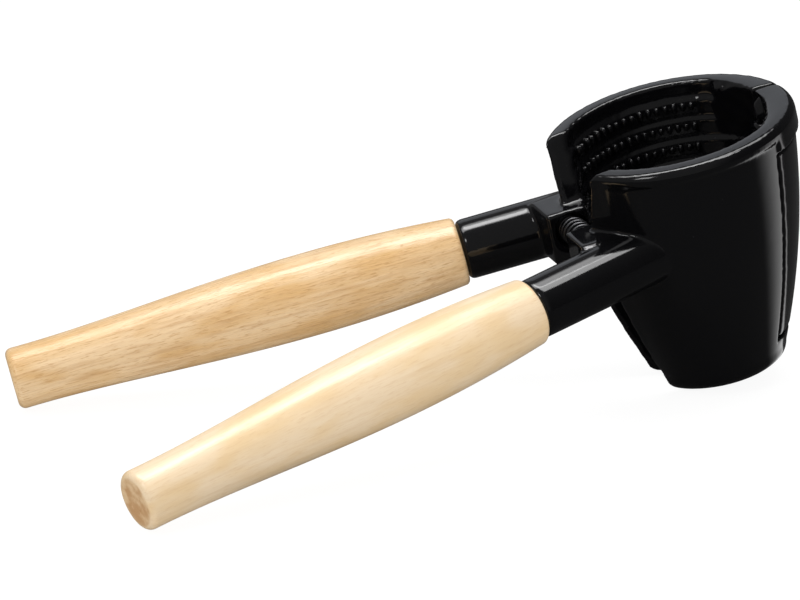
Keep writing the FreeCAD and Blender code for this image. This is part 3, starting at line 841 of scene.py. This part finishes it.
casting("near_jaw", "near_casting", "near_side", NEAR_FACET)
casting("far_jaw", "far_casting", "far_side", FAR_FACET)
grip(NEAR, "near_handle", "near_grip", "near_side", NEAR_WOOD, NEAR_GRAIN_SHIFT)
grip(FAR, "far_handle", "far_grip", "far_side", FAR_WOOD, FAR_GRAIN_SHIFT)
TOOTH_TREE, TOOTH_NAMES = tooth_tree()
teeth(NEAR, "near_teeth", "near_side", TOOTH_TREE, TOOTH_NAMES, seed=3)
teeth(FAR, "far_teeth", "far_side", TOOTH_TREE, TOOTH_NAMES, seed=8)
return_spring()
for steel_node in ("hinge_pin", "near_stud", "far_stud"):
    for material_place in frame["nodes"][steel_node].material_slots:
        material_place.material = PIN_STEEL


# Floor, world, lights and camera

def by_ray(tree, seen, mirrored, spread):
    """One strength as the camera sees it, one as gloss mirrors it, and one as it lights matt faces."""
    ray = put(tree, "ShaderNodeLightPath").outputs
    direct = math_of(tree, "MAXIMUM", ray["Is Camera Ray"], ray["Is Transmission Ray"])
    total = math_of(tree, "MULTIPLY", direct, seen)
    total = math_of(tree, "ADD", total, math_of(tree, "MULTIPLY", ray["Is Glossy Ray"], mirrored))
    return math_of(tree, "ADD", total, math_of(tree, "MULTIPLY", ray["Is Diffuse Ray"], spread))


def pale_floor():
    """A wide floor, white in the open and shaded under the press; gloss sees it dark but for one patch."""
    made, tree, shader = material("pale floor")
    shade = put(tree, "ShaderNodeCombineColor", dict.fromkeys(range(3), by_ray(tree, *FLOOR_PAINT)))
    tree.links.new(shade.outputs[0], shader.inputs["Base Color"])
    shader.inputs["Roughness"].default_value = 1.0
    shader.inputs["Specular IOR Level"].default_value = 0.0
    shader.inputs["Emission Color"].default_value = (1.0, 1.0, 1.0, 1.0)
    spot = parts_of(tree, put(tree, "ShaderNodeTexCoord").outputs["Object"])
    bearing = math_of(tree, "ARCTAN2", spot["Y"], math_of(tree, "SUBTRACT", spot["X"], PATCH_CENTRE))
    patch = math_of(tree, "MULTIPLY", ranged(tree, bearing, *PATCH_RISE), ranged(tree, bearing, *PATCH_CUT))
    tree.links.new(by_ray(tree, FLOOR_SEEN, patch, FLOOR_SPREAD), shader.inputs["Emission Strength"])
    corners = [(-FLOOR_HALF, -FLOOR_HALF, 0), (FLOOR_HALF, -FLOOR_HALF, 0),
               (FLOOR_HALF, FLOOR_HALF, 0), (-FLOOR_HALF, FLOOR_HALF, 0)]
    mesh = bpy.data.meshes.new("floor")
    mesh.from_pydata(corners, [], [(0, 1, 2, 3)])
    mesh.materials.append(made)
    floor = new_object("floor", mesh)
    floor.location.z = -FLOOR_DROP


def pale_world():
    """White where it is seen, softer where it lights matt faces, and dim but for one panel to gloss."""
    world = bpy.data.worlds.new("studio")
    bpy.context.scene.world = world
    world.use_nodes = True
    tree = world.node_tree
    look = parts_of(tree, put(tree, "ShaderNodeTexCoord").outputs["Generated"])
    rise = math_of(tree, "MAXIMUM", look["Z"], LOWEST_RISE)
    sideways = math_of(tree, "ABSOLUTE", math_of(tree, "DIVIDE", look["X"], rise))
    behind = math_of(tree, "DIVIDE", look["Y"], rise)
    sides = ranged(tree, sideways, *PANEL_SIDES)
    panel = math_of(tree, "MULTIPLY", sides, ranged(tree, behind, *PANEL_FRONT))
    panel = math_of(tree, "MULTIPLY", panel, ranged(tree, behind, *PANEL_BACK))
    mirrored = math_of(tree, "ADD", panel, ranged(tree, look["X"], *WORLD_RIGHT))
    background = tree.nodes["Background"]
    tree.links.new(by_ray(tree, WORLD_SEEN, mirrored, WORLD_SPREAD), background.inputs["Strength"])
    background.inputs["Color"].default_value = (1.0, 1.0, 1.0, 1.0)


def soft_light(name, place, size, power, colour):
    """A rectangular lamp that points at the press."""
    lamp = bpy.data.lights.new(name, "AREA")
    lamp.shape = "RECTANGLE"
    lamp.size, lamp.size_y = size
    lamp.energy = power
    lamp.color = colour
    thing = new_object(name, lamp)
    thing.location = place
    thing.rotation_euler = (Vector(LAMP_AIM) - Vector(place)).to_track_quat("-Z", "Y").to_euler()


def photo_camera():
    """The photograph's view, from far enough away that it is nearly square-on everywhere."""
    back = Vector((math.sin(VIEW_TURN) * math.cos(VIEW_RISE), -math.cos(VIEW_TURN) * math.cos(VIEW_RISE),
                   math.sin(VIEW_RISE)))
    level = Vector((math.cos(VIEW_TURN), math.sin(VIEW_TURN), 0))
    above = back.cross(level)
    right = level * math.cos(VIEW_ROLL) + above * math.sin(VIEW_ROLL)
    turn = CUP.to_3x3()
    right, back = turn @ right, turn @ back
    up = back.cross(right)
    middle = (RIM_CENTRE + right * (IMAGE_WIDTH / 2 - RIM_PIXEL[0]) / PIXELS_PER_METRE
              - up * (IMAGE_HEIGHT / 2 - RIM_PIXEL[1]) / PIXELS_PER_METRE)
    lens = bpy.data.cameras.new("photo camera")
    lens.sensor_width = 36.0
    lens.lens = lens.sensor_width * VIEW_DISTANCE * PIXELS_PER_METRE / IMAGE_WIDTH
    lens.clip_start = 0.1
    lens.clip_end = 200.0
    camera = new_object("photo camera", lens)
    camera.matrix_world = frame_matrix(right, up, back, middle + back * VIEW_DISTANCE)
    bpy.context.scene.camera = camera


pale_floor()
pale_world()
for lamp_row in LAMPS:
    soft_light(*lamp_row)
photo_camera()
bpy.context.scene.view_settings.view_transform = "Standard"
